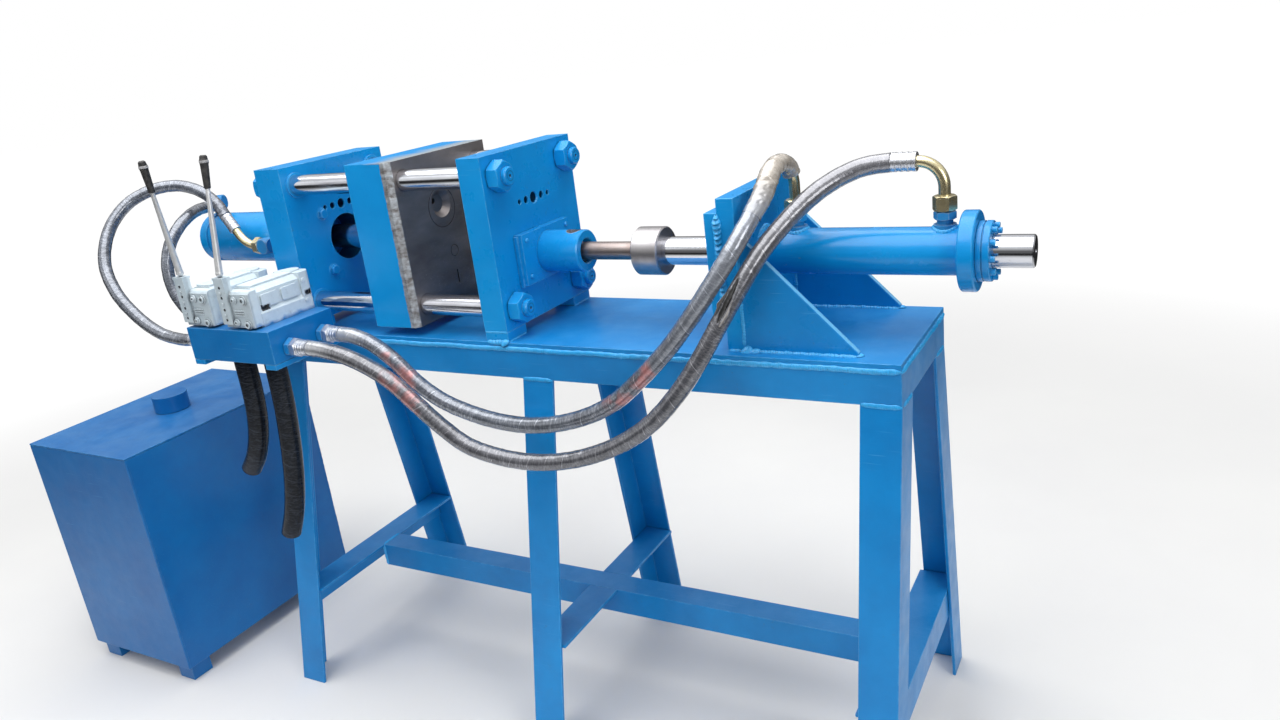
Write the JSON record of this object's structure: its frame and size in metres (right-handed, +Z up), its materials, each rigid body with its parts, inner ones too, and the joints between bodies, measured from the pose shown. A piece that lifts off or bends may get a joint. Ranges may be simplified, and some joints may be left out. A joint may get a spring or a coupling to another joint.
{
  "type": "hydraulic die casting machine",
  "caption": "Horizontal hydraulic die casting machine on an angle iron table, with platens on tie bars, shot cylinder, lever valves, hoses and oil tank.",
  "frame": {"origin": "on the floor, under the middle of the box round the machine and its tank, hoses left out", "axes": "+X along the table towards the tail of the shot rod, +Y to the back, +Z up"},
  "size_m": [2.108, 0.658, 1.1874],
  "materials": {
    "blue_paint": "brushed enamel over welded steel",
    "chrome_bar": "hard chrome, ground",
    "bare_steel": "turned bare steel, browned",
    "plated_steel": "bright zinc plate",
    "yellow_zinc": "yellow passivated zinc plate",
    "valve_casting": "off-white paint on a casting",
    "lever_steel": "plated rod with black grip",
    "hose_rubber": "black hose in clear spiral wrap"
  },
  "bodies": {
    "machine": {"table_top": "blue_paint", "long_rails": "blue_paint", "end_rails": "blue_paint", "front_left_leg": "blue_paint", "front_middle_leg": "blue_paint", "front_right_leg": "blue_paint", "back_left_leg": "blue_paint", "back_middle_leg": "blue_paint", "back_right_leg": "blue_paint", "left_cross_bar": "blue_paint", "middle_cross_bars": "blue_paint", "right_cross_bar": "blue_paint", "lower_rail": "blue_paint", "clamp_platen": "blue_paint", "shot_platen": "blue_paint", "packing_blocks": "blue_paint", "tie_bars": "chrome_bar", "tie_bar_nuts": "blue_paint", "clamp_cylinder": "blue_paint", "sleeve_plates": "blue_paint", "shot_sleeve": "blue_paint", "cylinder_front_flange": "blue_paint", "bracket_plate": "blue_paint", "bracket_gussets": "blue_paint", "shot_cylinder": "blue_paint", "rear_flange": "blue_paint", "rear_gland": "blue_paint", "port_fittings": "blue_paint", "bent_tubes": "yellow_zinc", "hose_crimps": "plated_steel", "valve_block": "blue_paint", "block_shelf": "blue_paint", "block_fittings": "blue_paint", "right_valve": "valve_casting", "left_valve": "valve_casting", "oil_tank": "blue_paint", "tank_lid": "blue_paint", "tank_feet": "blue_paint", "tank_filler": "blue_paint", "front_shot_hose": "hose_rubber", "rear_shot_hose": "hose_rubber", "clamp_front_hose": "hose_rubber", "clamp_rear_hose": "hose_rubber", "left_drain_hose": "hose_rubber", "right_drain_hose": "hose_rubber"},
    "clamp_set": {"moving_platen": "blue_paint", "clamp_ram": "chrome_bar"},
    "shot_set": {"plunger_rod": "bare_steel", "rod_coupling": "bare_steel", "shot_rod": "chrome_bar"},
    "right_lever_arm": {"right_lever": "lever_steel"},
    "left_lever_arm": {"left_lever": "lever_steel"}
  },
  "joints": [
    {"name": "clamp_slide", "type": "slide", "parent": "machine", "child": "clamp_set", "axis": [1, 0, 0], "range_m": [-0.09, 0.14]},
    {"name": "shot_slide", "type": "slide", "parent": "machine", "child": "shot_set", "axis": [1, 0, 0], "range_m": [-0.015, 0.125]},
    {"name": "right_lever_hinge", "type": "hinge", "parent": "machine", "child": "right_lever_arm", "pos_m": [-0.316, -0.273, 0.9726], "axis": [1, 0, 0], "range_deg": [-10, 20]},
    {"name": "left_lever_hinge", "type": "hinge", "parent": "machine", "child": "left_lever_arm", "pos_m": [-0.429, -0.273, 0.9726], "axis": [1, 0, 0], "range_deg": [-22, 8]}
  ]
}
